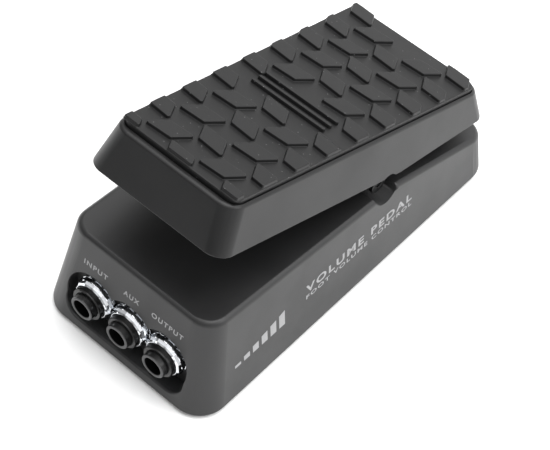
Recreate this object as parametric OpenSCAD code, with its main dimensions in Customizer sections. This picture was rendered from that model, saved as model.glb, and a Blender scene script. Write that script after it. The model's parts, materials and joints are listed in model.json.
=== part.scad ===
// Compact volume pedal: drafted cast base, rocking treadle on a cross axle,
// rubber tread pad, three-jack toe panel and an internal band drive that
// turns the volume potentiometer. Millimetres. Toe end faces -Y, heel +Y,
// floor is Z = 0, drawn with the heel down.

/* [Base casting] */
// footprint width across the bottom edge
base_w = 70; // [64:0.5:78]
// footprint length along the bottom edge
base_l = 150; // [140:0.5:160]
// roof height at the toe end
toe_h = 40; // [36:0.2:44]
// roof height at the ridge by the pivot
ridge_h = 31.7; // [28:0.1:35]
// roof height at the heel end
heel_h = 17.5; // [14:0.1:22]
// ridge position along Y
ridge_y = 21.1; // [15:0.1:28]
// draft of the end walls in degrees
end_draft = 10.1; // [5:0.1:14]
// draft of the side walls in degrees
side_draft = 8.4; // [4:0.1:12]
// plan corner radius of the walls
base_r = 7.6; // [6:0.1:12]
// wall thickness of the casting
base_t = 2.8; // [2:0.1:4]

/* [Treadle] */
// treadle top tilt with the heel down, degrees
tilt = 19; // [15:0.1:23]
// height of the treadle rim above its datum
rim_h = 18.85; // [15:0.05:22]
// half width of the skirt at the datum line
skirt_hw = 30; // [27:0.1:32]
// skirt wall thickness
skirt_t = 2.4; // [2:0.1:3.5]
// plan corner radius of the skirt
treadle_r = 6; // [4:0.1:9]
// rim width around the pad pocket
rim_w = 2.1; // [1.5:0.1:3.5]

/* [Pivot] */
// pivot axis position along Y
piv_y = 14.8; // [12:0.1:18]
// pivot axis height
piv_z = 34.2; // [32:0.1:37]
// axle radius
axle_r = 3; // [2.5:0.05:4]
// running clearance of the axle in its bushings
run_fit = 0.05; // [0.02:0.01:0.1]

/* [Jacks] */
// spacing of the three jacks
jack_pitch = 14.9; // [14.6:0.1:17]
// jack centre height
jack_z = 15.9; // [14:0.1:18]
// front face of the jack noses
jack_y = -76.2; // [-78:0.1:-74]
// bore radius of a jack
jack_bore_r = 3.2; // [3.1:0.05:3.3]

/* [Band drive] */
// sector rim radius
sector_r = 41.6; // [38:0.1:44]
// drum tyre outer radius
drum_r = 6.2; // [5:0.1:8]
// direction of the drum below the horizontal, degrees
drum_dir = 20; // [18:0.5:30]

/* [Tread pattern] */
// lug pitch across the pad
lug_px = 20.3; // [18:0.1:22]
// lug pitch along the pad
lug_pu = 15.3; // [13:0.1:17]
// lug height
lug_h = 1.1; // [0.8:0.1:2]

/* [Hidden] */
$fn = 64;
eps = 0.01;
zb = 1.2;                          // underside of the casting rim
te = tan(end_draft);
y_ft = -base_l/2 + toe_h*te;       // front edge of the roof
y_rt = base_l/2 - heel_h*te;       // rear edge of the roof
slope_f = (toe_h - ridge_h)/(ridge_y - y_ft);
slope_r = (ridge_h - heel_h)/(y_rt - ridge_y);
function roof(y) = y < ridge_y ? ridge_h + (ridge_y - y)*slope_f : ridge_h - (y - ridge_y)*slope_r;
org_y = 21.1;                      // treadle datum in Y
org_z = 34.27;                     // treadle datum in Z
pu = (piv_y - org_y)*cos(tilt) - (piv_z - org_z)*sin(tilt);
pw = (piv_y - org_y)*sin(tilt) + (piv_z - org_z)*cos(tilt);
skirt_front = -91;
skirt_rear = 50.7;
w_front = 3.25;
w_kink = 1.95;
w_rear = 7.0;
function skirt(u) = u < 0 ? w_kink + (w_front - w_kink)*u/skirt_front : w_kink + (w_rear - w_kink)*u/skirt_rear;
t_taper = 0.0343;
t_side = tan(12.2);
t_front = tan(11.1);
t_rear = tan(33.3);
top_front = skirt_front + (rim_h - w_front)*t_front;
top_rear = skirt_rear - (rim_h - w_rear)*t_rear;
top_hw0 = skirt_hw - rim_h*t_side;
pocket_w = 16.2;                   // pocket floor
deck_w = 13.6;                     // deck underside
pad_top = 20.4;                    // pad surface between the lugs
rim_side = 0.9;                    // rim width along the two long sides
jack_ys = -68;                     // face of the jack panel
nut_f = -72.1;                     // front face of a jack nut
band_t = 0.4;
gap = 0.3;
drum_cd = sector_r + band_t + gap + drum_r;
drum_y = piv_y - drum_cd*cos(drum_dir);
drum_z = piv_z - drum_cd*sin(drum_dir);
plate_t = 1.5;
posts = [[-26.4, -57], [26.4, -57], [-26, 0], [26, 0], [-25.5, 58], [25.5, 58]];
brk_screws = [[12, -36], [12, -23]];

function unit(v) = v/norm(v);
function dotp(a, b) = a[0]*b[0] + a[1]*b[1] + a[2]*b[2];
function unrot(p, a, k) = p*cos(a) - cross(k, p)*sin(a) + k*dotp(k, p)*(1 - cos(a));

// planes of the base walls, in order +X, +Y, -X, -Y, moved in by o
function base_planes(o) = [
    [[cos(side_draft), 0, sin(side_draft)], cos(side_draft)*base_w/2 - o],
    [[0, cos(end_draft), sin(end_draft)], cos(end_draft)*base_l/2 - o],
    [[-cos(side_draft), 0, sin(side_draft)], cos(side_draft)*base_w/2 - o],
    [[0, -cos(end_draft), sin(end_draft)], cos(end_draft)*base_l/2 - o]];
ts = norm([1, t_taper, t_side]);
tf = norm([1, t_front]);
tr = norm([1, t_rear]);
function treadle_planes(o) = [
    [[1, -t_taper, t_side]/ts, skirt_hw/ts - o],
    [[0, 1, t_rear]/tr, (skirt_rear + w_rear*t_rear)/tr - o],
    [[-1, -t_taper, t_side]/ts, skirt_hw/ts - o],
    [[0, -1, t_front]/tf, (-skirt_front + w_front*t_front)/tf - o]];

module beyond(n, c) {
    translate(n*c) rotate(a = acos(n[2]), v = [-n[1], n[0], 0])
        translate([-200, -200, 0]) cube([400, 400, 200]);
}

module corner(p1, p2, r, ease) {
    d = unit(cross(p1[0], p2[0]));
    a = acos(d[2]);
    k = unit([-d[1], d[0], 0]);
    m1 = p1[0]; m2 = p2[0];
    c1 = p1[1] - r; c2 = p2[1] - r;
    det = m1[0]*m2[1] - m1[1]*m2[0];
    ax = (c1*m2[1] - m1[1]*c2)/det;
    ay = (m1[0]*c2 - c1*m2[0])/det;
    t1 = unrot(m1, a, k)*r*1.8;
    t2 = unrot(m2, a, k)*r*1.8;
    translate([ax, ay, 0]) rotate(a = a, v = k) linear_extrude(140, center = true) difference() {
        polygon([[0, 0], [t1[0], t1[1]], [t1[0] + t2[0], t1[1] + t2[1]], [t2[0], t2[1]]]);
        circle(r + ease);
    }
}

// side profile clipped by four drafted walls with rounded corners
module walled(prof, planes, r, ease) {
    difference() {
        rotate([90, 0, 90]) linear_extrude(120, center = true) polygon(prof);
        for (p = planes) beyond(p[0], p[1]);
        for (i = [0:3]) corner(planes[i], planes[(i + 1) % 4], r, ease);
    }
}

function base_prof(z0, drop) = [[-90, z0], [90, z0], [90, roof(90) - drop], [ridge_y, ridge_h - drop], [-90, roof(-90) - drop]];
module base_block(o, z0, drop) { walled(base_prof(z0, drop), base_planes(o), base_r - o, 0.02); }
function treadle_prof(top, drop) = [[-100, skirt(-100) - drop], [0, w_kink - drop], [70, skirt(70) - drop], [70, top], [-100, top]];
module treadle_block(o, top, drop) { walled(treadle_prof(top, drop), treadle_planes(o), treadle_r - o, -0.02); }

module on_treadle() { translate([0, org_y, org_z]) rotate([-tilt, 0, 0]) children(); }
module x_cyl(r, x0, x1) { translate([x0, 0, 0]) rotate([0, 90, 0]) cylinder(r = r, h = x1 - x0); }
module at_pivot() { translate([0, piv_y, piv_z]) children(); }
module both() { children(); mirror([1, 0, 0]) children(); }
// flat shape drawn in (u, w), thickened along X
module x_plate(x0, x1) { translate([x0, 0, 0]) rotate([90, 0, 90]) linear_extrude(x1 - x0) children(); }

// convex outline with rounded corners
module round_poly(p, r) {
    n = len(p);
    q = [for (i = [0:n-1]) let(
        a = unit(p[(i + n - 1) % n] - p[i]), b = unit(p[(i + 1) % n] - p[i]),
        h = acos(a*b)/2, c = p[i] + unit(a + b)*r/sin(h))
        [p[i] + a*r/tan(h), p[i] + b*r/tan(h), c]];
    polygon([for (e = q) for (j = [0, 1]) e[j]]);
    for (e = q) translate(e[2]) circle(r);
}
function pocket_hw(u) = top_hw0 + u*t_taper - rim_side;
function pad_outline(o) = [
    [-pocket_hw(top_front) + o, top_front + rim_w + o], [pocket_hw(top_front) - o, top_front + rim_w + o],
    [pocket_hw(top_rear) - o, top_rear - rim_w - o], [-pocket_hw(top_rear) + o, top_rear - rim_w - o]];

// ---------------------------------------------------------------- base
module base_housing() {
    color([0.42, 0.42, 0.44]) difference() {
        union() {
            difference() {
                base_block(0, zb, 0);
                base_block(base_t, 0, 3);

            }
            intersection() {
                base_block(0.5, zb + plate_t + 0.1, 0.5);
                union() {
                    // screw posts
                    for (p = posts) translate([p[0], p[1], zb + plate_t + 0.1]) cylinder(r = 3.4, h = 50);
                    // jack panel backing
                    translate([-27, -74, 3]) cube([54, 9, 26]);
                    // bearing blocks and trough floor
                    both() translate([15.9, piv_y - 8, 24.5]) cube([13.5, 16, 12]);
                    // bracket bosses
                    for (p = brk_screws) translate([p[0], p[1], 28]) cylinder(r = 3.2, h = 20);
                }
            }
            at_pivot() both() x_cyl(5.5, 16.2, 21.8);
            at_pivot() both() translate([16.2, -5.2, -4]) cube([5.6, 10.4, 4.2]);
        }
        // plate rebate
        intersection() {
            base_block(1.6, zb - 1, 0);
            translate([-60, -90, zb - 2]) cube([120, 180, 2 + plate_t + 0.1]);
        }
        for (p = posts) translate([p[0], p[1], 0]) cylinder(r = 1.25, h = 13);
        // jack recess
        translate([0, jack_ys, 0]) rotate([90, 0, 0]) linear_extrude(20) {
            for (i = [-1:1]) translate([i*jack_pitch, jack_z]) circle(9.8);
            round_poly([[-24.3, 4.9], [24.3, 4.9], [24.3, 20], [-24.3, 20]], 6);
        }
        for (i = [-1:1]) translate([i*jack_pitch, jack_ys + 20, jack_z]) rotate([90, 0, 0]) cylinder(r = 6.0, h = 24);
        // flat land for the jack bodies behind the panel
        translate([-27.5, -65, 3.2]) cube([55, 4, 26.2]);
        // roof opening for the drive
        translate([-15.7, -31, 24]) cube([31.4, 54, 30]);
        // bushing bores and troughs for the treadle ears
        at_pivot() both() { x_cyl(4.5, 15, 23); x_cyl(5.7, 21.8, 45); }
        for (p = brk_screws) translate([p[0], p[1], 27]) cylinder(r = 1.0, h = 6.5);
    }
}

module bottom_plate() {
    color([0.2, 0.2, 0.21]) difference() {
        intersection() {
            base_block(1.9, zb - 1, 0);
            translate([-60, -90, zb]) cube([120, 180, plate_t]);
        }
        for (p = posts) translate([p[0], p[1], 0]) { cylinder(r = 1.7, h = 5); translate([0, 0, zb - eps]) cylinder(r1 = 3.15, r2 = 1.7, h = 1.4); }
    }
}

module plate_screws() {
    color([0.1, 0.1, 0.1]) for (p = posts) translate([p[0], p[1], zb + 0.05]) difference() {
        union() { cylinder(r1 = 2.9, r2 = 1.45, h = 1.3); cylinder(r = 1.2, h = 8.5); }
        translate([-0.4, -1.7, -1]) cube([0.8, 3.4, 1.6]);
        translate([-1.7, -0.4, -1]) cube([3.4, 0.8, 1.6]);
    }
}

module rubber_feet() {
    color([0.07, 0.07, 0.07]) for (x = [-22, 22]) for (y = [-64, 65]) translate([x, y, 0]) cylinder(r1 = 5.2, r2 = 5.5, h = zb);
}

module bushing() {
    difference() {
        union() { x_cyl(4.5, 16.2, 21.85); x_cyl(5.3, 21.8, 22.4); }
        x_cyl(axle_r + run_fit, 10, 30);
    }
}
module axle_bushing_left() { color([0.12, 0.12, 0.12]) at_pivot() mirror([1, 0, 0]) bushing(); }
module axle_bushing_right() { color([0.12, 0.12, 0.12]) at_pivot() bushing(); }

// ---------------------------------------------------------------- treadle
module ear2d() {
    translate([pu, pw]) circle(5.2);
    polygon([[pu - 8.5, 3.6], [pu - 4.9, pw - 1.2], [pu + 4.9, pw - 1.2], [pu + 8.5, 3.6], [pu + 8.5, 15], [pu - 8.5, 15]]);
}
toe_b = [19.4, -79.5];
heel_b = [21.5, 38];
module treadle_shell() {
    color([0.40, 0.40, 0.42]) on_treadle() difference() {
        union() {
            difference() {
                treadle_block(0, rim_h, 0);
                treadle_block(skirt_t, deck_w, 10);
            }
            // ears, bumper bosses and stiffening ribs
            intersection() {
                treadle_block(1.0, deck_w + 1, 20);
                union() {
                    both() x_plate(22.8, 25.2) ear2d();
                    both() {
                        translate([toe_b[0], toe_b[1], 5]) cylinder(r = 3.4, h = 10);
                        translate([heel_b[0], heel_b[1], 6.5]) cylinder(r = 3.4, h = 8);
                    }
                    for (u = [-62, -38, 24]) translate([-22, u - 1, 10.5]) cube([44, 2, 5]);
                }
            }
        }
        translate([0, 0, pocket_w]) linear_extrude(10) round_poly(pad_outline(0), 4);
        translate([0, pu, pw]) both() { x_cyl(5.5, 25.2, 45); x_cyl(axle_r, 20, 30); }
        both() {
            translate([toe_b[0], toe_b[1], 0]) cylinder(r = 1.5, h = 11);
            translate([heel_b[0], heel_b[1], 0]) cylinder(r = 1.5, h = 11);
        }
        // pad rivet holes
        for (u = [-70, 28]) translate([0, u, 10]) cylinder(r = 1.6, h = 10);
    }
}

function lug(m) = [for (q = [[-6.25, -3.1], [-5.75, -3.95], [2.95, -3.3], [6.25, 3.1], [5.75, 3.95], [-2.95, 3.3]]) [q[0]*m, q[1]]];
// lug rows: centres along the pad for the two lug families
rows_a = [-75.9, -60.6, -45.3, -14.9, 0.4, 15.7, 31.0];
rows_b = [-68.2, -52.9, -37.6, -7.2, 8.1, 23.4];
rows_e = [-83.3, -68.2, -52.9, -37.6, -22.3, -7.2, 8.1, 23.4, 38.5];
module lugs2d() {
    for (s = [-1, 1]) for (u = rows_a) translate([s*lug_px/2, u]) polygon(lug(1));
    for (u = rows_b) translate([0, u]) polygon(lug(-1));
    translate([0, -83.2]) polygon(lug(-1));
    for (s = [-1, 1]) for (u = rows_e) translate([s*lug_px, u]) polygon(lug(-1));
    // plain grip bars in the middle of the pad
    for (u = [-31.2, -27.6, -24.0]) translate([-14.5, u - 0.75]) square([29, 1.5]);
}
module tread_pad() {
    color([0.09, 0.09, 0.1]) on_treadle() {
        translate([0, 0, pocket_w]) linear_extrude(pad_top - pocket_w) round_poly(pad_outline(0.2), 3.8);
        translate([0, 0, pad_top - eps]) linear_extrude(lug_h + eps) intersection() {
            translate([0, -1.9]) lugs2d();
            round_poly(pad_outline(0.45), 3.5);
        }
        for (u = [-70, 28]) translate([0, u, deck_w - 0.6]) { cylinder(r = 1.55, h = pocket_w - deck_w + 0.7); cylinder(r1 = 1.9, r2 = 2.3, h = 0.6); }
    }
}

module bumper(b, w0, w1, r) {
    translate([b[0], b[1], 0]) {
        translate([0, 0, w0]) cylinder(r1 = r - 0.5, r2 = r, h = 0.6);
        translate([0, 0, w0 + 0.6]) cylinder(r = r, h = w1 - w0 - 0.6);
        translate([0, 0, w1 - eps]) cylinder(r = 1.5, h = 4.5);
    }
}
module toe_bumpers() { color([0.06, 0.06, 0.06]) on_treadle() both() bumper(toe_b, 0.9, 5, 4.1); }
module heel_bumpers() { color([0.06, 0.06, 0.06]) on_treadle() both() bumper(heel_b, 0.3, 6.5, 3.4); }

module pivot_axle() {
    color([0.7, 0.7, 0.72]) at_pivot() difference() {
        x_cyl(axle_r, -25.2, 25.2);
        both() x_cyl(1.25, 19, 28);
    }
}
module axle_screws() {
    color([0.07, 0.07, 0.08]) at_pivot() both() difference() {
        union() { x_cyl(3.7, 25.2, 26.8); x_cyl(1.25, 19.5, 25.3); }
        translate([25.8, 0, 0]) rotate([0, 90, 0]) cylinder(r = 1.7, h = 4, $fn = 6);
    }
}

// ---------------------------------------------------------------- band drive
// angles are measured below the toe-side horizontal
function pol(r, a) = [-r*cos(a), -r*sin(a)];
sec0 = -6;
sec1 = 27.5;
module sector2d(r) {
    intersection() {
        circle(r, $fn = 160);
        polygon([[0, 0], pol(60, sec0), pol(60, (sec0 + sec1)/2), pol(60, sec1)]);
    }
}
module drive_sector() {
    color([0.75, 0.75, 0.77]) at_pivot() difference() {
        union() {
            x_plate(-2, 2) difference() {
                union() { sector2d(sector_r - 0.5); circle(6.9); }
                difference() {
                    intersection() { circle(sector_r - 4, $fn = 160); polygon([[0, 0], pol(60, sec0 + 5), pol(60, sec1 - 5)]); }
                    circle(14);
                }
            }
            x_cyl(7.4, -6, 6);
            x_plate(-3, 3) difference() { sector2d(sector_r); circle(sector_r - 2.4, $fn = 160); }
        }
        x_cyl(axle_r, -10, 10);
        translate([4, 0, 0]) rotate([90, 0, 0]) cylinder(r = 1.25, h = 12);
    }
}
module sector_set_screw() {
    color([0.1, 0.1, 0.1]) at_pivot() translate([4, 0, 0]) rotate([90, 0, 0]) difference() {
        translate([0, 0, axle_r]) cylinder(r = 1.25, h = 4.2);
        translate([0, 0, 6]) cylinder(r = 0.7, h = 3, $fn = 6);
    }
}
module drive_band() {
    color([0.82, 0.82, 0.84]) at_pivot() x_plate(-3, 3) intersection() {
        difference() { circle(sector_r + band_t, $fn = 160); circle(sector_r, $fn = 160); }
        polygon([[0, 0], pol(60, sec0), pol(60, (sec0 + sec1)/2), pol(60, sec1)]);
    }
}
// clamp bars over the two ends of the band
module band_clamps() {
    color([0.6, 0.6, 0.62]) for (a = [sec0 + 1.9, sec1 - 1.9]) at_pivot() rotate([a, 0, 0])
        translate([-3, -sector_r - band_t - 1.0, -1.1]) cube([6, 1.0, 2.2]);
}
module pot_drum() {
    color([0.78, 0.66, 0.38]) translate([0, drum_y, drum_z]) difference() {
        union() { x_cyl(5.2, -3.4, 3.4); x_cyl(4.6, 3.3, 6.2); }
        x_cyl(3.0, -10, 10);
    }
}
module drum_tyre() {
    color([0.08, 0.08, 0.08]) translate([0, drum_y, drum_z]) difference() {
        x_cyl(drum_r, -3.0, 3.0);
        x_cyl(5.2, -10, 10);
    }
}
module pot_shaft() {
    color([0.8, 0.8, 0.8]) translate([0, drum_y, drum_z]) difference() {
        x_cyl(3.0, -3.4, 10.6);
        translate([-4.4, -4, 2.1]) cube([4, 8, 3]);
    }
}
module pot_body() {
    color([0.55, 0.55, 0.57]) translate([0, drum_y, drum_z]) difference() {
        union() {
            x_cyl(8.2, 9.6, 18.5);
            x_cyl(4.0, 6.6, 9.7);
            translate([11, -6, -11]) cube([2, 12, 6]);
        }
        x_cyl(3.0 + run_fit, 0, 10.9);
    }
}
module pot_nut() {
    color([0.7, 0.7, 0.7]) translate([0, drum_y, drum_z]) difference() {
        translate([6.7, 0, 0]) rotate([0, 90, 0]) cylinder(r = 5.4, h = 1.4, $fn = 6);
        x_cyl(4.0, 0, 12);
    }
}
module pot_bracket() {
    color([0.5, 0.5, 0.52]) difference() {
        union() {
            translate([8.1, -39.5, 6]) cube([1.5, 20, 22]);
            translate([8.1, -39.5, 26.5]) cube([8, 20, 1.5]);
        }
        translate([0, drum_y, drum_z]) x_cyl(4.0, 0, 12);
        for (p = brk_screws) translate([p[0], p[1], 20]) cylinder(r = 1.2, h = 12);
    }
}
module bracket_screws() {
    color([0.6, 0.6, 0.6]) for (p = brk_screws) translate([p[0], p[1], 0]) difference() {
        union() { translate([0, 0, 25.2]) cylinder(r = 1.9, h = 1.3); translate([0, 0, 26]) cylinder(r = 1.0, h = 7); }
        translate([-0.3, -2, 25]) cube([0.6, 4, 0.7]);
    }
}

// ---------------------------------------------------------------- jacks
module jack_body(i) {
    color([0.08, 0.08, 0.09]) translate([i*jack_pitch, 0, jack_z]) difference() {
        union() {
            rotate([90, 0, 0]) translate([0, 0, 64.9]) cylinder(r = 5.85, h = 74.0 - 64.9);
            translate([-7.2, -65, -7.3]) cube([14.4, 24, 14.6]);
        }
        rotate([90, 0, 0]) translate([0, 0, 44]) cylinder(r = 3.2, h = 40);
        rotate([90, 0, 0]) translate([0, 0, 70]) cylinder(r = 4.45, h = 10);
    }
}
module jack_ferrule(i) {
    color([0.75, 0.75, 0.77]) translate([i*jack_pitch, 0, jack_z]) rotate([90, 0, 0]) difference() {
        union() { translate([0, 0, 70]) cylinder(r = 4.45, h = -jack_y - 70 - 0.4); translate([0, 0, -jack_y - 0.4]) cylinder(r1 = 4.45, r2 = 4.05, h = 0.4); }
        translate([0, 0, 60]) cylinder(r = jack_bore_r, h = 30);
    }
}
module input_jack() { jack_body(-1); }
module aux_jack() { jack_body(0); }
module output_jack() { jack_body(1); }
module input_ferrule() { jack_ferrule(-1); }
module aux_ferrule() { jack_ferrule(0); }
module output_ferrule() { jack_ferrule(1); }
module jack_washers() {
    color([0.75, 0.75, 0.77]) for (i = [-1:1]) translate([i*jack_pitch, 0, jack_z]) rotate([90, 0, 0]) difference() {
        translate([0, 0, 68]) cylinder(r = 7.3, h = 0.8);
        translate([0, 0, 60]) cylinder(r = 5.9, h = 20);
    }
}
module jack_nuts() {
    color([0.8, 0.8, 0.82]) for (i = [-1:1]) translate([i*jack_pitch, 0, jack_z]) rotate([90, 0, 0]) difference() {
        translate([0, 0, 68.8]) intersection() {
            rotate([0, 0, 15]) cylinder(r = 7.2/cos(15), h = 3.3, $fn = 12);
            union() { cylinder(r = 7.43, h = 2.5); translate([0, 0, 2.5]) cylinder(r1 = 7.43, r2 = 6.6, h = 0.8); }
        }
        translate([0, 0, 60]) cylinder(r = 5.85, h = 20);
    }
}

// ---------------------------------------------------------------- electronics
module circuit_board() {
    color([0.05, 0.28, 0.14]) difference() {
        translate([-22.4, -64, 6.9]) cube([44.8, 32, 1.6]);
        translate([-5.6, -42, 5]) cube([30, 12, 5]);
        for (x = [-1, 1]) translate([x*20.5, -37, 5]) cylinder(r = 1.3, h = 5);
    }
}
module board_components() {
    color([0.15, 0.15, 0.16]) {
        translate([-19.5, -36.6, 8.5]) cube([5, 4, 1.6]);
        translate([-13, -39.5, 8.5]) cube([5, 4, 1.75]);
    }
}
module mode_switch() {
    color([0.62, 0.62, 0.64]) difference() {
        translate([-22, -39.6, 2.9]) cube([9, 4.4, 4.0]);
        translate([-20.2, -38.4, 2.0]) cube([5.4, 2, 2.4]);
    }
}
module mode_slider() {
    color([0.9, 0.9, 0.88]) translate([-19.9, -38.1, 1.8 + 1.2]) cube([2.2, 1.4, 1.0]);
}

base_housing();
bottom_plate();
plate_screws();
rubber_feet();
axle_bushing_left();
axle_bushing_right();
treadle_shell();
tread_pad();
toe_bumpers();
heel_bumpers();
pivot_axle();
axle_screws();
drive_sector();
sector_set_screw();
drive_band();
band_clamps();
pot_drum();
drum_tyre();
pot_shaft();
pot_body();
pot_nut();
pot_bracket();
bracket_screws();
input_jack();
aux_jack();
output_jack();
input_ferrule();
aux_ferrule();
output_ferrule();
jack_washers();
jack_nuts();
circuit_board();
board_components();
mode_switch();
mode_slider();
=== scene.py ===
import json
import math
import bpy
import bmesh
from mathutils import Matrix, Vector


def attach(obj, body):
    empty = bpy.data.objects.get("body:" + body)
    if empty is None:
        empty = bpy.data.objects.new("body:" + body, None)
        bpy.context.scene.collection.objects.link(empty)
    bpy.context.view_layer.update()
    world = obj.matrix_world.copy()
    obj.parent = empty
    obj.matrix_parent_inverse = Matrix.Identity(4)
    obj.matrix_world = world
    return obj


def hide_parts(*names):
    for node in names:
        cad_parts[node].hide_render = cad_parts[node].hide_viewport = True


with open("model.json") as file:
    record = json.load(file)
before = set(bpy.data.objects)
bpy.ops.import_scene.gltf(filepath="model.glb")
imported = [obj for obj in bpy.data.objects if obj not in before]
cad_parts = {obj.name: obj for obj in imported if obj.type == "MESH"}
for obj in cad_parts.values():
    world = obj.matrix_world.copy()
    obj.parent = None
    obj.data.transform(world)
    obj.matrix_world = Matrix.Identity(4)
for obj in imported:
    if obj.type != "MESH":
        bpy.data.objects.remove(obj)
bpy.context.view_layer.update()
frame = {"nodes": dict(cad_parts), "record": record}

MM = 0.001
TAN = lambda d: math.tan(math.radians(d))


# ------------------------------------------------------------------ camera
cam_data = bpy.data.cameras.new("camera")
cam_data.lens = 110.35
cam_data.sensor_width = 36.0
cam_data.clip_start, cam_data.clip_end = 0.01, 20
cam = bpy.data.objects.new("camera", cam_data)
bpy.context.scene.collection.objects.link(cam)
right, up, back = (0.75248, 0.65192, 0.09366), (-0.56212, 0.5616, 0.60714), (0.34321, -0.50951, 0.78905)
m = Matrix(((right[0], up[0], back[0], 0.19242), (right[1], up[1], back[1], -0.28601),
            (right[2], up[2], back[2], 0.44449), (0, 0, 0, 1)))
cam.matrix_world = m
bpy.context.scene.camera = cam


# --------------------------------------------------------------- materials
def new_mat(name):
    mt = bpy.data.materials.new(name)
    mt.use_nodes = True
    nt = mt.node_tree
    return mt, nt, nt.nodes["Principled BSDF"]


def tex_coord(nt, scale, stretch=(1, 1, 1)):
    tc = nt.nodes.new("ShaderNodeTexCoord")
    mp = nt.nodes.new("ShaderNodeMapping")
    mp.inputs["Scale"].default_value = (scale * stretch[0], scale * stretch[1], scale * stretch[2])
    nt.links.new(tc.outputs["Object"], mp.inputs["Vector"])
    return mp.outputs["Vector"]


def noise(nt, vec, detail=3.0, rough=0.55, scale=1.0):
    n = nt.nodes.new("ShaderNodeTexNoise")
    n.inputs["Scale"].default_value = scale
    n.inputs["Detail"].default_value = detail
    n.inputs["Roughness"].default_value = rough
    nt.links.new(vec, n.inputs["Vector"])
    return n.outputs["Fac"]


def ramp(nt, fac, stops):
    r = nt.nodes.new("ShaderNodeValToRGB")
    els = r.color_ramp.elements
    els[0].position, els[0].color = stops[0][0], (*stops[0][1], 1)
    els[1].position, els[1].color = stops[-1][0], (*stops[-1][1], 1)
    for p, c in stops[1:-1]:
        e = els.new(p)
        e.color = (*c, 1)
    nt.links.new(fac, r.inputs["Fac"])
    return r.outputs["Color"]


def map_range(nt, fac, lo, hi, a=0.3, b=0.7):
    r = nt.nodes.new("ShaderNodeMapRange")
    r.inputs["From Min"].default_value, r.inputs["From Max"].default_value = a, b
    r.inputs["To Min"].default_value, r.inputs["To Max"].default_value = lo, hi
    nt.links.new(fac, r.inputs["Value"])
    return r.outputs["Result"]


def bump(nt, height, strength, dist, chain=None):
    b = nt.nodes.new("ShaderNodeBump")
    b.inputs["Strength"].default_value = strength
    b.inputs["Distance"].default_value = dist
    nt.links.new(height, b.inputs["Height"])
    if chain is not None:
        nt.links.new(chain, b.inputs["Normal"])
    return b.outputs["Normal"]


def finish_mat(name, col, rough, metallic=0.0, grain=0.35, grain_h=0.00002, vary=0.12, rough_vary=0.06,
               specks=0.0, stretch=(1, 1, 1), spec=0.5, coat=0.0, sheen=0.0):
    """A base colour with slow tint drift, a fine surface grain in mm, roughness drift and optional light dust specks."""
    mt, nt, bs = new_mat(name)
    slow = noise(nt, tex_coord(nt, 45.0), 4.0)
    fine_v = tex_coord(nt, 1000.0 / grain, stretch)
    fine = noise(nt, fine_v, 2.0)
    lo = tuple(c * (1 - vary) for c in col)
    hi = tuple(min(1.0, c * (1 + vary)) for c in col)
    c = ramp(nt, slow, [(0.3, lo), (0.7, hi)])
    mix = nt.nodes.new("ShaderNodeMix")
    mix.data_type = "RGBA"
    mix.blend_type = "MULTIPLY"
    mix.inputs["Factor"].default_value = 1.0
    nt.links.new(c, mix.inputs[6])
    nt.links.new(ramp(nt, fine, [(0.3, (0.86,) * 3), (0.7, (1.0,) * 3)]), mix.inputs[7])
    out = mix.outputs[2]
    if specks > 0:
        v = nt.nodes.new("ShaderNodeTexVoronoi")
        v.inputs["Scale"].default_value = 1.0
        nt.links.new(tex_coord(nt, 420.0), v.inputs["Vector"])
        m2 = nt.nodes.new("ShaderNodeMix")
        m2.data_type = "RGBA"
        nt.links.new(map_range(nt, v.outputs["Distance"], specks, 0.0, 0.035, 0.07), m2.inputs["Factor"])
        nt.links.new(out, m2.inputs[6])
        m2.inputs[7].default_value = (0.55, 0.55, 0.55, 1)
        out = m2.outputs[2]
    nt.links.new(out, bs.inputs["Base Color"])
    nt.links.new(map_range(nt, slow, rough - rough_vary, rough + rough_vary), bs.inputs["Roughness"])
    nt.links.new(bump(nt, fine, 0.6, grain_h), bs.inputs["Normal"])
    bs.inputs["Metallic"].default_value = metallic
    bs.inputs["Specular IOR Level"].default_value = spec
    bs.inputs["Coat Weight"].default_value = coat
    bs.inputs["Sheen Weight"].default_value = sheen
    return mt


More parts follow.
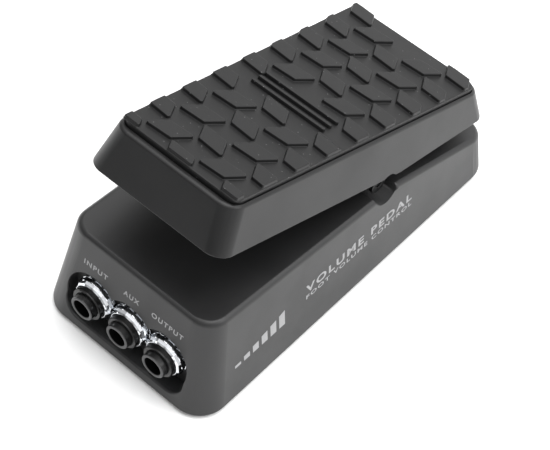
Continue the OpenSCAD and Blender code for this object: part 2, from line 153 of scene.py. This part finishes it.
g = lambda v: (v, v, v * 1.03)
M = {
    "base_coat": finish_mat("base_coat", g(0.015), 0.40, spec=0.44, grain=0.22, grain_h=0.000012, vary=0.05),
    "treadle_coat": finish_mat("treadle_coat", g(0.009), 0.38, spec=0.34, grain=0.22, grain_h=0.000012, vary=0.05),
    "pad_rubber": finish_mat("pad_rubber", g(0.007), 0.44, spec=0.32, grain=0.3, grain_h=0.000014, vary=0.10, specks=0.35),
    "foot_rubber": finish_mat("foot_rubber", g(0.012), 0.7, grain=0.3, vary=0.15),
    "bumper_rubber": finish_mat("bumper_rubber", g(0.012), 0.38, grain=0.3, vary=0.15),
    "plate_steel": finish_mat("plate_steel", g(0.02), 0.42, grain=0.25, vary=0.12),
    "black_screw": finish_mat("black_screw", g(0.004), 0.34, grain=0.15, vary=0.2, spec=0.3),
    "bushing_plastic": finish_mat("bushing_plastic", g(0.02), 0.45, grain=0.3),
    "axle_steel": finish_mat("axle_steel", g(0.55), 0.22, metallic=1.0, grain=0.3, stretch=(0.08, 1, 1)),
    "sector_alloy": finish_mat("sector_alloy", g(0.62), 0.32, metallic=1.0, grain=0.3, stretch=(1, 0.08, 1)),
    "band_steel": finish_mat("band_steel", g(0.65), 0.2, metallic=1.0, grain=0.2, stretch=(0.1, 1, 1)),
    "clamp_steel": finish_mat("clamp_steel", g(0.5), 0.3, metallic=1.0, grain=0.25, stretch=(0.15, 1, 1)),
    "zinc_screw": finish_mat("zinc_screw", g(0.55), 0.28, metallic=1.0, grain=0.2),
    "drum_brass": finish_mat("drum_brass", (0.68, 0.46, 0.18), 0.25, metallic=1.0, grain=0.2, stretch=(0.1, 1, 1)),
    "pot_metal": finish_mat("pot_metal", g(0.42), 0.34, metallic=1.0, grain=0.3),
    "nut_chrome": finish_mat("nut_chrome", (0.80, 0.82, 0.85), 0.07, metallic=1.0, grain=0.6, grain_h=0.000004, vary=0.05, rough_vary=0.03),
    "jack_plastic": finish_mat("jack_plastic", g(0.004), 0.28, spec=0.35, grain=0.4, grain_h=0.000006, vary=0.1),
    # painted shade: near-black, low-gloss material for the inside of the jack bores
    "bore_painted_shade": finish_mat("bore_painted_shade", g(0.0015), 0.6, grain=0.3, spec=0.08),
    # painted highlight: lighter grey on the flat front face of the black jack noses, standing in for its satin sheen
    "nose_face_painted_highlight": finish_mat("nose_face_painted_highlight", g(0.05), 0.42, grain=0.25, grain_h=0.000006),
    "ferrule_plastic": finish_mat("ferrule_plastic", g(0.006), 0.30, spec=0.4, grain=0.3, grain_h=0.000008, vary=0.1),
    "board_laminate": finish_mat("board_laminate", (0.01, 0.10, 0.04), 0.3, grain=0.8, coat=0.4),
    "chip_plastic": finish_mat("chip_plastic", g(0.02), 0.5, grain=0.25),
    "slider_plastic": finish_mat("slider_plastic", (0.62, 0.62, 0.58), 0.4, grain=0.3),
    "print_ink": finish_mat("print_ink", (0.34, 0.34, 0.345), 0.55, spec=0.2, grain=0.25, grain_h=0.000004, vary=0.06),
}


def link(name, mesh):
    o = bpy.data.objects.new(name, mesh)
    bpy.context.scene.collection.objects.link(o)
    return o


def from_bm(name, bm):
    me = bpy.data.meshes.new(name)
    bmesh.ops.recalc_face_normals(bm, faces=bm.faces)
    bm.to_mesh(me)
    bm.free()
    return link(name, me)


def bake_modifiers(o):
    dg = bpy.context.evaluated_depsgraph_get()
    me = bpy.data.meshes.new_from_object(o.evaluated_get(dg))
    o.modifiers.clear()
    o.data = me
    return o


def smooth(o, angle=32.0, weighted=True):
    for p in o.data.polygons:
        p.use_smooth = True
    o.data.set_sharp_from_angle(angle=math.radians(angle))
    if weighted:
        w = o.modifiers.new("w", "WEIGHTED_NORMAL")
        w.keep_sharp = True
        w.weight = 90
        bake_modifiers(o)
    return o


def to_metres(o):
    o.data.transform(Matrix.Scale(MM, 4))
    return o


def dress(o, mat, body, slot=None, *nodes):
    o.data.materials.clear()
    o.data.materials.append(M[mat])
    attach(o, body)
    if nodes:
        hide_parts(*nodes)
    return o


def cad_copy(node, name):
    """A copy of a CAD node in millimetres, its vertices welded."""
    me = frame["nodes"][node].data.copy()
    bm = bmesh.new()
    bm.from_mesh(me)
    bmesh.ops.transform(bm, matrix=Matrix.Scale(1000, 4), verts=bm.verts)
    bmesh.ops.remove_doubles(bm, verts=bm.verts, dist=0.0008)
    bmesh.ops.dissolve_degenerate(bm, edges=bm.edges, dist=0.0005)
    bmesh.ops.recalc_face_normals(bm, faces=bm.faces)
    me2 = bpy.data.meshes.new(name)
    bm.to_mesh(me2)
    bm.free()
    return link(name, me2)


def boolean(a, b, op):
    md = a.modifiers.new("b", "BOOLEAN")
    md.operation = op
    md.solver = "EXACT"
    md.object = b
    bake_modifiers(a)
    bpy.data.objects.remove(b, do_unlink=True)
    return a


def tidy(o, angle=0.3):
    """Joins the flat triangles left by a boolean into clean polygons."""
    bm = bmesh.new()
    bm.from_mesh(o.data)
    bmesh.ops.remove_doubles(bm, verts=bm.verts, dist=0.002)
    bmesh.ops.dissolve_limit(bm, angle_limit=math.radians(angle), verts=bm.verts, edges=bm.edges, delimit={"NORMAL"})
    bm.to_mesh(o.data)
    bm.free()
    return o


def soften(node, mat, width=0.2, segments=2, angle=35, slot=None, body=None):
    """A CAD node's shape with its sharp edges rounded by width mm."""
    o = cad_copy(node, node + "_look")
    tidy(o, 1.0)
    b = o.modifiers.new("bevel", "BEVEL")
    b.width, b.segments, b.limit_method = width, segments, "ANGLE"
    b.angle_limit = math.radians(angle)
    b.use_clamp_overlap = True
    b.harden_normals = False
    bake_modifiers(o)
    smooth(o, 40)
    to_metres(o)
    return dress(o, mat, body or body_of_node(node), slot, node)


BODY = {n: b for b, ns in frame["record"]["behaviour"]["bodies"].items() for n in ns}


def body_of_node(node):
    return BODY[node]


def ring_loft(name, rings, cap_start=None, cap_end=None, close=False):
    """Quads between successive rings of equal length; caps are lists of index lists into the first or last ring."""
    bm = bmesh.new()
    n = len(rings[0])
    vs = [[bm.verts.new(p) for p in r] for r in rings]
    pairs = list(zip(vs[:-1], vs[1:]))
    if close:
        pairs.append((vs[-1], vs[0]))
    for a, b in pairs:
        for i in range(n):
            j = (i + 1) % n
            bm.faces.new((a[i], a[j], b[j], b[i]))
    for caps, ring in ((cap_start, vs[0]), (cap_end, vs[-1])):
        for c in caps or []:
            bm.faces.new([ring[k] for k in c])
    return from_bm(name, bm)


def arc_between(p, d1, d2, radius, seg):
    """Points of the fillet of a corner p between unit directions d1 and d2, from the d1 side to the d2 side."""
    half = d1.angle(d2) / 2
    t = radius / math.tan(half)
    a, b = p + d1 * t, p + d2 * t
    c = p + (d1 + d2).normalized() * (radius / math.sin(half))
    va, vb = a - c, b - c
    ang = va.angle(vb)
    out = []
    for k in range(seg + 1):
        f = k / seg
        out.append(c + (va * math.sin((1 - f) * ang) + vb * math.sin(f * ang)) / math.sin(ang))
    return out


def filleted_block(name, columns, top_r, bottom_r, top_slope, bottom_slope, top_caps, bottom_caps, seg=7):
    """columns: (bottom corner, top corner, outward horizontal normal). Wall, fillets at both ends, then caps."""
    cols = []
    for lo, hi, n in columns:
        upd = (hi - lo).normalized()
        inb = Vector((-n.x, -n.y, 0))
        db = Vector((inb.x, inb.y, bottom_slope(lo) * inb.y)).normalized()
        dt = Vector((inb.x, inb.y, top_slope(hi) * inb.y)).normalized()
        col = arc_between(lo, db, upd, bottom_r, 3) + arc_between(hi, -upd, dt, top_r, seg)
        cols.append(col)
    rings = [[c[k] for c in cols] for k in range(len(cols[0]))]
    return ring_loft(name, rings, bottom_caps, top_caps)


# ------------------------------------------------------- base casting shape
IN = 0.03
RIDGE_Y, TOE_H, RIDGE_H, HEEL_H = 21.1, 40.0, 31.7, 17.5
TS, TE = TAN(8.4), TAN(10.1)
YF = -75 + TOE_H * TE
YR = 75 - HEEL_H * TE
SF = (TOE_H - RIDGE_H) / (RIDGE_Y - YF)
SR = (RIDGE_H - HEEL_H) / (YR - RIDGE_Y)


def roof(y):
    return (RIDGE_H + (RIDGE_Y - y) * SF if y < RIDGE_Y else RIDGE_H - (y - RIDGE_Y) * SR) - IN


def base_column(kind, a, b):
    """kind 'side' (sign, y), 'end' (sign, x) or 'corner' (signs, angle)."""
    def at(z):
        hw, hl = 35 - IN - z * TS, 75 - IN - z * TE
        r = 10.3 - 2.6 * z / 40
        if kind == "side":
            return Vector((a * hw, b, z))
        if kind == "end":
            return Vector((b, a * hl, z))
        c, s = math.cos(b), math.sin(b)
        return Vector((a[0] * (hw - r) + r * c, a[1] * (hl - r) + r * s, z))
    n = Vector((a, 0, 0)) if kind == "side" else Vector((0, a, 0)) if kind == "end" else Vector((math.cos(b), math.sin(b), 0))
    z = 30.0
    for _ in range(40):
        z = roof(at(z).y)
    return at(1.2 + IN), at(z), n


def base_columns():
    spec = []
    for y in (-45, -20, 0, RIDGE_Y, 45):
        spec.append(("side", 1, y))
    for k in range(13):
        spec.append(("corner", (1, 1), math.radians(90 * k / 12)))
    for x in (15, -15):
        spec.append(("end", 1, x))
    for k in range(13):
        spec.append(("corner", (-1, 1), math.radians(90 + 90 * k / 12)))
    for y in (45, RIDGE_Y, 0, -20, -45):
        spec.append(("side", -1, y))
    for k in range(13):
        spec.append(("corner", (-1, -1), math.radians(180 + 90 * k / 12)))
    for x in (-15, 15):
        spec.append(("end", -1, x))
    for k in range(13):
        spec.append(("corner", (1, -1), math.radians(270 + 90 * k / 12)))
    ridge = [i for i, s in enumerate(spec) if s[0] == "side" and s[2] == RIDGE_Y]
    n = len(spec)
    rear = list(range(ridge[0], ridge[1] + 1))
    fore = list(range(ridge[1], n)) + list(range(0, ridge[0] + 1))
    return [base_column(*s) for s in spec], rear, fore, n


cols, rear, fore, n_cols = base_columns()
base = filleted_block("base_look", cols, 2.0, 0.5,
                      lambda p: -SF if p.y < RIDGE_Y else -SR, lambda p: 0.0,
                      [rear, fore], [list(range(n_cols))])
boolean(base, cad_copy("base_housing", "cut_base"), "INTERSECT")


# rolled lip round the jack recess
def recess_radius(th, o):
    """Distance from (0, 13) to the recess outline grown by o, along the ray at th."""
    dx, dz = math.cos(th), math.sin(th)
    best = 0.0
    for cx in (-14.9, 0, 14.9):
        px, pz, r = -cx, 13 - 15.9, 9.8 + o
        b = px * dx + pz * dz
        disc = b * b - (px * px + pz * pz - r * r)
        if disc > 0:
            best = max(best, -b + math.sqrt(disc))
    t = 0.0
    hx, z0, z1, rc = 24.3 + o, 4.9 - o, 20 + o, 6 + o
    lo, hi = 0.0, 60.0
    for _ in range(44):
        t = (lo + hi) / 2
        x, z = abs(t * dx), 13 + t * dz
        qx = x - (hx - rc)
        qz = max(z0 + rc - z, z - (z1 - rc))
        inside = (math.hypot(max(qx, 0), max(qz, 0)) + min(max(qx, qz), 0)) <= rc
        lo, hi = (t, hi) if inside else (lo, t)
    return max(best, t)


def recess_ring(o, inward):
    """Outline grown by o at a depth measured in from the sloping front wall."""
    pts = []
    for k in range(300):
        th = 2 * math.pi * k / 300
        r = recess_radius(th, o)
        x, z = r * math.cos(th), 13 + r * math.sin(th)
        pts.append(Vector((x, -75 + z * TE + inward, z)))
    return pts


lip = []
R_LIP = 0.7
for k in range(7):
    a = math.pi / 2 * k / 6
    lip.append(recess_ring(0.02 + R_LIP * (1 - math.sin(a)), R_LIP * (1 - math.cos(a))))
lip.insert(0, recess_ring(0.02 + R_LIP, -1.0))
lip.append(recess_ring(0.02, 1.6))
cutter = ring_loft("cut_lip", lip, [list(range(300))], [list(range(300))])
boolean(base, cutter, "DIFFERENCE")
tidy(base)
smooth(base, 30)
to_metres(base)
dress(base, "base_coat", "base", None, "base_housing")


# ------------------------------------------------------------ treadle shape
TILT = math.radians(19)
TO_WORLD = Matrix.Translation((0, 21.1, 34.27)) @ Matrix.Rotation(-TILT, 4, "X")
TP, T_SIDE, T_FRONT, T_REAR = 0.0343, TAN(12.2), TAN(11.1), TAN(33.3)
SK_F, SK_R, W_F, W_K, W_R, RIM_H = -91.0, 50.7, 3.25, 1.95, 7.0, 18.85


def skirt(u):
    return (W_K + (W_F - W_K) * u / SK_F if u < 0 else W_K + (W_R - W_K) * u / SK_R) + IN


def treadle_column(kind, a, b, r=6.0):
    def at(w):
        k = 30 - IN - w * T_SIDE
        uf, ur = SK_F + IN + (w - W_F) * T_FRONT, SK_R - IN - (w - W_R) * T_REAR
        if kind == "side":
            return Vector((a * (k + TP * b), b, w))
        if kind == "end":
            return Vector((b, ur if a > 0 else uf, w))
        uc = ur - r if a[1] > 0 else uf + r
        return Vector((a[0] * (k + TP * uc - r) + r * math.cos(b), uc + r * math.sin(b), w))
    n = Vector((a, 0, 0)) if kind == "side" else Vector((0, a, 0)) if kind == "end" else Vector((math.cos(b), math.sin(b), 0))
    w = 3.0
    for _ in range(60):
        w = 0.5 * w + 0.5 * skirt(at(w).y)
    return at(w), at(RIM_H - IN), n


spec = []
for u in (-60, -30, 0, 25):
    spec.append(("side", 1, u))
for k in range(13):
    spec.append(("corner", (1, 1), math.radians(90 * k / 12)))
for x in (12, -12):
    spec.append(("end", 1, x))
for k in range(13):
    spec.append(("corner", (-1, 1), math.radians(90 + 90 * k / 12)))
for u in (25, 0, -30, -60):
    spec.append(("side", -1, u))
for k in range(13):
    spec.append(("corner", (-1, -1), math.radians(180 + 90 * k / 12)))
for x in (-12, 12):
    spec.append(("end", -1, x))
for k in range(13):
    spec.append(("corner", (1, -1), math.radians(270 + 90 * k / 12)))
kink = [i for i, s in enumerate(spec) if s[0] == "side" and s[2] == 0]
n_t = len(spec)
rear_t = list(range(kink[0], kink[1] + 1))
fore_t = list(range(kink[1], n_t)) + list(range(0, kink[0] + 1))
treadle = filleted_block("treadle_look", [treadle_column(*s) for s in spec], 1.4, 0.5,
                         lambda p: 0.0, lambda p: (W_F - W_K) / SK_F if p.y < 0 else (W_R - W_K) / SK_R,
                         [list(range(n_t))], [rear_t, fore_t])
treadle.data.transform(TO_WORLD)
boolean(treadle, cad_copy("treadle_shell", "cut_treadle"), "INTERSECT")

TOP_HW0 = 30 - RIM_H * T_SIDE
TOP_F, TOP_R = SK_F + (RIM_H - W_F) * T_FRONT, SK_R - (RIM_H - W_R) * T_REAR


def pocket_hw(u):
    return TOP_HW0 + u * TP - 0.9


def rounded(pts, r, seg=6):
    """A convex outline, counter-clockwise, with rounded corners."""
    out = []
    n = len(pts)
    for i in range(n):
        p, a, b = Vector(pts[i]), Vector(pts[i - 1]), Vector(pts[(i + 1) % n])
        da, db = (a - p), (b - p)
        la, lb = da.length, db.length
        da.normalize()
        db.normalize()
        half = da.angle(db) / 2
        t = min(r / math.tan(half), 0.45 * la, 0.45 * lb)
        rr = t * math.tan(half)
        c = p + (da + db).normalized() * (rr / math.sin(half))
        va, vb = p + da * t - c, p + db * t - c
        ang = va.angle(vb)
        for k in range(seg + 1):
            f = k / seg
            out.append(c + (va * math.sin((1 - f) * ang) + vb * math.sin(f * ang)) / math.sin(ang))
    return out


def pad_poly(o):
    f, r = TOP_F + 2.1 + o, TOP_R - 2.1 - o
    return [(-pocket_hw(f) + o, f), (pocket_hw(f) - o, f), (pocket_hw(r) - o, r), (-pocket_hw(r) + o, r)]


# eased inner edge of the rim
rim_rings = []
for o, w in ((-0.30, 19.2), (-0.28, RIM_H - IN), (-0.16, 18.76), (-0.06, 18.62), (-0.02, 18.4), (-0.02, 17.6)):
    rim_rings.append([Vector((p.x, p.y, w)) for p in rounded(pad_poly(o), 4 - o)])
cut = ring_loft("cut_rim", rim_rings, [list(range(28))], [list(range(28))])
cut.data.transform(TO_WORLD)
boolean(treadle, cut, "DIFFERENCE")
tidy(treadle)
smooth(treadle, 30)
to_metres(treadle)
dress(treadle, "treadle_coat", "treadle", None, "treadle_shell")


# ---------------------------------------------------------------- tread pad
def inset(poly, d):
    """A convex counter-clockwise polygon moved in by d."""
    n = len(poly)
    lines = []
    for i in range(n):
        p, q = Vector(poly[i]), Vector(poly[(i + 1) % n])
        e = (q - p).normalized()
        nrm = Vector((-e.y, e.x))
        lines.append((nrm, nrm.dot(p) + d))
    out = []
    for i in range(n):
        (n1, c1), (n2, c2) = lines[i - 1], lines[i]
        det = n1.x * n2.y - n1.y * n2.x
        out.append(Vector(((c1 * n2.y - n1.y * c2) / det, (n1.x * c2 - c1 * n2.x) / det)))
    return out


def clip(poly, bound):
    """Sutherland-Hodgman against a convex counter-clockwise bound."""
    out = [Vector(p) for p in poly]
    for i in range(len(bound)):
        a, b = Vector(bound[i]), Vector(bound[(i + 1) % len(bound)])
        e = b - a
        side = lambda p: e.x * (p.y - a.y) - e.y * (p.x - a.x)
        src, out = out, []
        for j in range(len(src)):
            p, q = src[j - 1], src[j]
            sp, sq = side(p), side(q)
            if (sp >= 0) != (sq >= 0):
                out.append(p + (q - p) * (sp / (sp - sq)))
            if sq >= 0:
                out.append(q)
        if not out:
            return []
    keep = []
    for p in out:
        if not keep or (p - keep[-1]).length > 0.05:
            keep.append(p)
    if len(keep) > 1 and (keep[0] - keep[-1]).length < 0.05:
        keep.pop()
    return keep


def area(poly):
    return 0.5 * sum(poly[i - 1].x * poly[i].y - poly[i].x * poly[i - 1].y for i in range(len(poly)))


LUG = [(-6.25, -3.1), (-5.75, -3.95), (2.95, -3.3), (6.25, 3.1), (5.75, 3.95), (-2.95, 3.3)]
ROWS_A = [-75.9, -60.6, -45.3, -14.9, 0.4, 15.7, 31.0]
ROWS_B = [-68.2, -52.9, -37.6, -7.2, 8.1, 23.4, -83.2]
ROWS_E = [-83.3, -68.2, -52.9, -37.6, -22.3, -7.2, 8.1, 23.4, 38.5]
shapes = []
for s in (-1, 1):
    for u in ROWS_A:
        shapes.append([(s * 10.15 + x, u + y) for x, y in LUG])
    for u in ROWS_E:
        shapes.append([(s * 20.3 - x, u + y) for x, y in reversed(LUG)])
for u in ROWS_B:
    shapes.append([(-x, u + y) for x, y in reversed(LUG)])
for u in (-31.2, -27.6, -24.0):
    shapes.append([(-14.5, u - 0.75), (14.5, u - 0.75), (14.5, u + 0.75), (-14.5, u + 0.75)])

bm = bmesh.new()


def add_loft(rings):
    n = len(rings[0])
    vs = [[bm.verts.new(p) for p in r] for r in rings]
    for a, b in zip(vs[:-1], vs[1:]):
        for i in range(n):
            j = (i + 1) % n
            bm.faces.new((a[i], a[j], b[j], b[i]))
    bm.faces.new(list(reversed(vs[0])))
    bm.faces.new(vs[-1])


PAD_TOP = 20.4
LATTICE = -1.9
shapes = [[(x, u + LATTICE) for x, u in sh] for sh in shapes]
body = []
for o, w in ((0.22, 16.23), (0.22, 19.75), (0.27, 20.05), (0.42, 20.28), (0.70, PAD_TOP)):
    body.append([Vector((p.x, p.y, w)) for p in rounded(pad_poly(o), 4 - o)])
add_loft(body)
for sh in shapes:
    bar = abs(sh[0][0]) > 14 and abs(sh[0][0] + 14.5) < 0.01
    poly = clip(sh, pad_poly(0.5))
    if len(poly) < 3 or area(poly) < 2.0:
        continue
    if area(poly) < 0:
        poly.reverse()
    levels = ((-0.25, 20.3), (-0.08, 20.46), (0.0, 20.62), (0.05, 21.1), (0.12, 21.32), (0.26, 21.45), (0.45, 21.5))
    if bar:
        levels = ((-0.2, 20.3), (-0.05, 20.46), (0.03, 21.15), (0.12, 21.38), (0.3, 21.5))
    rings = []
    for d, w in levels:
        try:
            q = inset(poly, d)
        except ZeroDivisionError:
            q = poly
        rings.append([Vector((p.x, p.y, w)) for p in rounded(q, max(0.25, 0.6 - d), 3)])
    add_loft(rings)
pad = from_bm("tread_pad_look", bm)
pad.data.transform(TO_WORLD)
smooth(pad, 40)
to_metres(pad)
dress(pad, "pad_rubber", "treadle", None, "tread_pad")


# -------------------------------------------------------------------- jacks
def lathe(name, profile, seg=64, shape=None):
    """profile: closed list of (radius, depth toward the toe). shape(radius, angle, k) may bend a ring."""
    rings = []
    for k, (r, d) in enumerate(profile):
        ring = []
        for i in range(seg):
            a = 2 * math.pi * i / seg
            rr = shape(r, a, k) if shape else r
            ring.append(Vector((rr * math.cos(a), -d, rr * math.sin(a))))
        rings.append(ring)
    return ring_loft(name, rings, close=True)


def place(o, x, z=15.9):
    o.data.transform(Matrix.Translation((x, 0, z)))
    return o


def nut_shape(r, a, k):
    """Rings 5 to 8 carry twelve flats, rings 9 to 12 twelve more, turned half a step."""
    if 5 <= k <= 8:
        ph = (a + math.pi / 12) % (math.pi / 6) - math.pi / 12
        return min(r / math.cos(ph), 7.44)
    if 9 <= k <= 12:
        ph = a % (math.pi / 6) - math.pi / 12
        return r / math.cos(ph)
    return r


# bored nut: flange, groove, two tapered rows of lands, rounded nose
NUT = [(5.88, 68.82), (7.25, 68.82), (7.42, 68.95), (7.42, 69.2), (7.1, 69.3), (7.06, 69.42), (7.2, 69.5), (7.14, 69.75),
       (6.98, 70.55), (6.96, 70.7), (6.92, 70.78), (6.62, 71.6), (6.42, 71.85), (6.3, 72.05), (6.1, 72.1), (5.95, 71.95), (5.88, 71.7)]
nuts, washers = [], []
for i, x in enumerate((-14.9, 0.0, 14.9)):
    nut = lathe("n", NUT, 96, nut_shape)
    nut.data.transform(Matrix.Rotation(math.radians((4, -7, 9)[i]), 4, "Y"))
    nuts.append(place(nut, x))
    washers.append(place(lathe("wa", [(5.92, 68.02), (7.1, 68.02), (7.28, 68.2), (7.28, 68.6), (7.1, 68.78), (5.92, 68.78)], 64), x))


def join(objs, name):
    bmj = bmesh.new()
    for o in objs:
        bmj.from_mesh(o.data)
        bpy.data.objects.remove(o, do_unlink=True)
    return from_bm(name, bmj)


for objs, node, ang in ((nuts, "jack_nuts", 16), (washers, "jack_washers", 40)):
    o = join(objs, node + "_look")
    smooth(o, ang, weighted=False)
    to_metres(o)
    dress(o, "nut_chrome", "base", None, node)

SLEEVE = [(3.24, 44.2), (3.24, 69.95), (4.42, 70.05), (4.5, 73.75), (4.62, 73.92), (4.85, 73.98), (5.35, 73.98),
          (5.62, 73.9), (5.78, 73.7), (5.83, 73.4), (5.83, 66.0), (5.83, 64.6), (5.6, 50.0), (5.6, 44.2)]
NOSE = [(3.22, 70.1), (3.22, 75.75), (3.30, 75.98), (3.46, 76.14), (3.66, 76.19), (4.02, 76.19), (4.22, 76.12), (4.36, 75.95),
        (4.41, 75.7), (4.41, 74.5), (4.38, 70.1)]
for node_j, node_f, x in (("input_jack", "input_ferrule", -14.9), ("aux_jack", "aux_ferrule", 0.0), ("output_jack", "output_ferrule", 14.9)):
    sleeve = place(lathe("s", SLEEVE, 72), x)
    smooth(sleeve, 35)
    # moulded body behind the panel, open through its bore
    box = bmesh.new()
    bmesh.ops.create_cube(box, size=1.0, matrix=Matrix.Translation((x, -53, 15.9)) @ Matrix.Diagonal((14.36, 23.96, 14.56, 1)))
    bmesh.ops.bevel(box, geom=box.edges[:], offset=0.5, segments=3, affect="EDGES", profile=0.5)
    shell = from_bm("box", box)
    hole = lathe("h", [(0.001, 40), (5.75, 40), (5.75, 66.5), (0.001, 66.5)], 48)
    boolean(shell, place(hole, x), "DIFFERENCE")
    smooth(shell, 35)
    j = join([sleeve, shell], node_j + "_look")
    smooth(j, 35)
    to_metres(j)
    dress(j, "jack_plastic", "base", None, node_j)
    f = place(lathe("f", NOSE, 72), x)
    f.name = node_f + "_look"
    smooth(f, 35)
    to_metres(f)
    dress(f, "ferrule_plastic", "base", None, node_f)
    # painted shade in the bore and a painted highlight on the front face, one material slot each
    for o in (f, j):
        o.data.materials.append(M["bore_painted_shade"])
        o.data.materials.append(M["nose_face_painted_highlight"])
        for p in o.data.polygons:
            c = p.center
            # faces inside the bore take the painted shade
            if math.hypot(c.x - x * MM, c.z - 0.0159) < 3.27 * MM:
                p.material_index = 1
            # the front face of the nose takes the painted highlight
            elif o is f and c.y < -0.07595:
                p.material_index = 2


# ------------------------------------------------- rounded copies of fittings
for node, mat, width in (
        ("rubber_feet", "foot_rubber", 0.3), ("toe_bumpers", "bumper_rubber", 0.5), ("heel_bumpers", "bumper_rubber", 0.5),
        ("axle_screws", "black_screw", 0.35), ("plate_screws", "black_screw", 0.12), ("bottom_plate", "plate_steel", 0.15),
        ("pivot_axle", "axle_steel", 0.25), ("pot_drum", "drum_brass", 0.2), ("drum_tyre", "bumper_rubber", 0.3),
        ("pot_shaft", "axle_steel", 0.2), ("pot_body", "pot_metal", 0.3), ("pot_nut", "nut_chrome", 0.2),
        ("pot_bracket", "clamp_steel", 0.2), ("drive_sector", "sector_alloy", 0.2), ("bracket_screws", "zinc_screw", 0.15),
        ("axle_bushing_left", "bushing_plastic", 0.12), ("axle_bushing_right", "bushing_plastic", 0.12),
        ("circuit_board", "board_laminate", 0.12), ("board_components", "chip_plastic", 0.15), ("mode_switch", "zinc_screw", 0.12),
        ("mode_slider", "slider_plastic", 0.12)):
    soften(node, mat, width)

for node, mat in (("sector_set_screw", "black_screw"), ("drive_band", "band_steel"), ("band_clamps", "clamp_steel")):
    o = frame["nodes"][node]
    for s in o.material_slots:
        s.material = M[mat]


# ------------------------------------------------------------- printed marks
def letters(name, text, height, width, at, xdir, ydir, bold=0.035):
    """Plain lettering as a thin raised film. at is the lower left corner in mm, width the printed length."""
    cu = bpy.data.curves.new(name, "FONT")
    cu.body = text
    cu.size = 1.0
    cu.space_character = 1.28
    cu.offset = bold * 0.35
    cu.extrude = 0.004
    o = link(name, cu)
    dg = bpy.context.evaluated_depsgraph_get()
    me = bpy.data.meshes.new_from_object(o.evaluated_get(dg))
    bpy.data.objects.remove(o, do_unlink=True)
    xs = [v.co.x for v in me.vertices]
    ys = [v.co.y for v in me.vertices]
    sx, sy = width / (max(xs) - min(xs)), height / (max(ys) - min(ys))
    zdir = xdir.cross(ydir)
    for v in me.vertices:
        x, y, z = (v.co.x - min(xs)) * sx, (v.co.y - min(ys)) * sy, v.co.z
        v.co = at + xdir * x + ydir * y + zdir * (z * 4)
    return link(name, me)


f_up = Vector((0, TE, 1)).normalized()
f_x = Vector((1, 0, 0))
s_up = Vector((-TS, 0, 1)).normalized()
s_x = Vector((0, 1, 0))


def on_front(x, z):
    return Vector((x, -75 + IN + z * TE, z)) + f_x.cross(f_up) * 0.018


def on_side(y, z):
    return Vector((35 - IN - z * TS, y, z)) + s_x.cross(s_up) * 0.018


def film(name, polys, at, xdir, ydir):
    """Flat printed shapes; each is a list of (x, y) in mm."""
    b = bmesh.new()
    for poly in polys:
        lo = [b.verts.new(at + xdir * x + ydir * y) for x, y in poly]
        hi = [b.verts.new(at + xdir * x + ydir * y + xdir.cross(ydir) * 0.016) for x, y in poly]
        n = len(poly)
        b.faces.new(lo)
        b.faces.new(hi)
        for i in range(n):
            b.faces.new((lo[i], lo[(i + 1) % n], hi[(i + 1) % n], hi[i]))
    return from_bm(name, b)


marks = [
    letters("m1", "INPUT", 2.0, 9.8, on_front(-20.1, 29.0), f_x, f_up, 0.06),
    letters("m2", "AUX", 2.0, 6.3, on_front(-3.6, 29.0), f_x, f_up, 0.06),
    letters("m3", "OUTPUT", 2.0, 12.7, on_front(7.9, 29.0), f_x, f_up, 0.06),
    letters("m4", "VOLUME PEDAL", 3.4, 53.5, on_side(-25.0, 19.3), s_x, s_up, 0.075),
    letters("m5", "FOOT VOLUME CONTROL", 1.75, 53.5, on_side(-25.0, 16.7), s_x, s_up, 0.06),
    # rising level bars
    film("m6", [[(k * 4.1, 0), (k * 4.1 + 2.7, 0), (k * 4.1 + 2.7, 1.2 + k * 1.05), (k * 4.1, 1.2 + k * 0.9)] for k in range(6)],
         on_side(-58.5, 14.6), s_x, s_up),
]
prints = join(marks, "printed_marks")
to_metres(prints)
dress(prints, "print_ink", "base", "base_coat")


# ------------------------------------------------------------ floor and light
fm, fnt, fb = new_mat("studio_floor")
fb.inputs["Base Color"].default_value = (0.93, 0.93, 0.93, 1)
fb.inputs["Roughness"].default_value = 0.9
fb.inputs["Specular IOR Level"].default_value = 0.1
bpy.ops.mesh.primitive_plane_add(size=14, location=(0, 0, -0.00005))
floor = bpy.context.object
floor.name = "studio_floor"
floor.data.materials.append(fm)

# soft tent light: bright overhead, dimmer round the horizon and dimmest at the toe end
world = bpy.data.worlds.new("studio")
bpy.context.scene.world = world
bpy.context.scene.view_settings.view_transform = "Standard"
world.use_nodes = True
wn = world.node_tree
wc = wn.nodes.new("ShaderNodeTexCoord")
dot = wn.nodes.new("ShaderNodeVectorMath")
dot.operation = "DOT_PRODUCT"
dot.inputs[1].default_value = (0.28, 0.42, 0.86)
wn.links.new(wc.outputs["Generated"], dot.inputs[0])
wr = wn.nodes.new("ShaderNodeMapRange")
wr.interpolation_type = "SMOOTHSTEP"
wr.inputs["From Min"].default_value, wr.inputs["From Max"].default_value = -0.55, 0.95
wr.inputs["To Min"].default_value, wr.inputs["To Max"].default_value = 0.10, 1.35
wn.links.new(dot.outputs["Value"], wr.inputs["Value"])
wn.links.new(wr.outputs["Result"], wn.nodes["Background"].inputs["Strength"])
wn.nodes["Background"].inputs["Color"].default_value = (1, 1, 1, 1)


def area_light(name, loc, target, size, power, size_y=None):
    d = bpy.data.lights.new(name, "AREA")
    d.energy = power
    d.size = size
    if size_y:
        d.shape = "RECTANGLE"
        d.size_y = size_y
    o = bpy.data.objects.new(name, d)
    o.location = loc
    o.rotation_mode = "QUATERNION"
    o.rotation_quaternion = (Vector(target) - Vector(loc)).to_track_quat("-Z", "Y")
    bpy.context.scene.collection.objects.link(o)


area_light("overhead", (0.1, 0.4, 1.5), (0, 0, 0), 1.6, 25)
area_light("side", (1.2, 0.5, 0.9), (0, 0, 0.02), 0.7, 5)
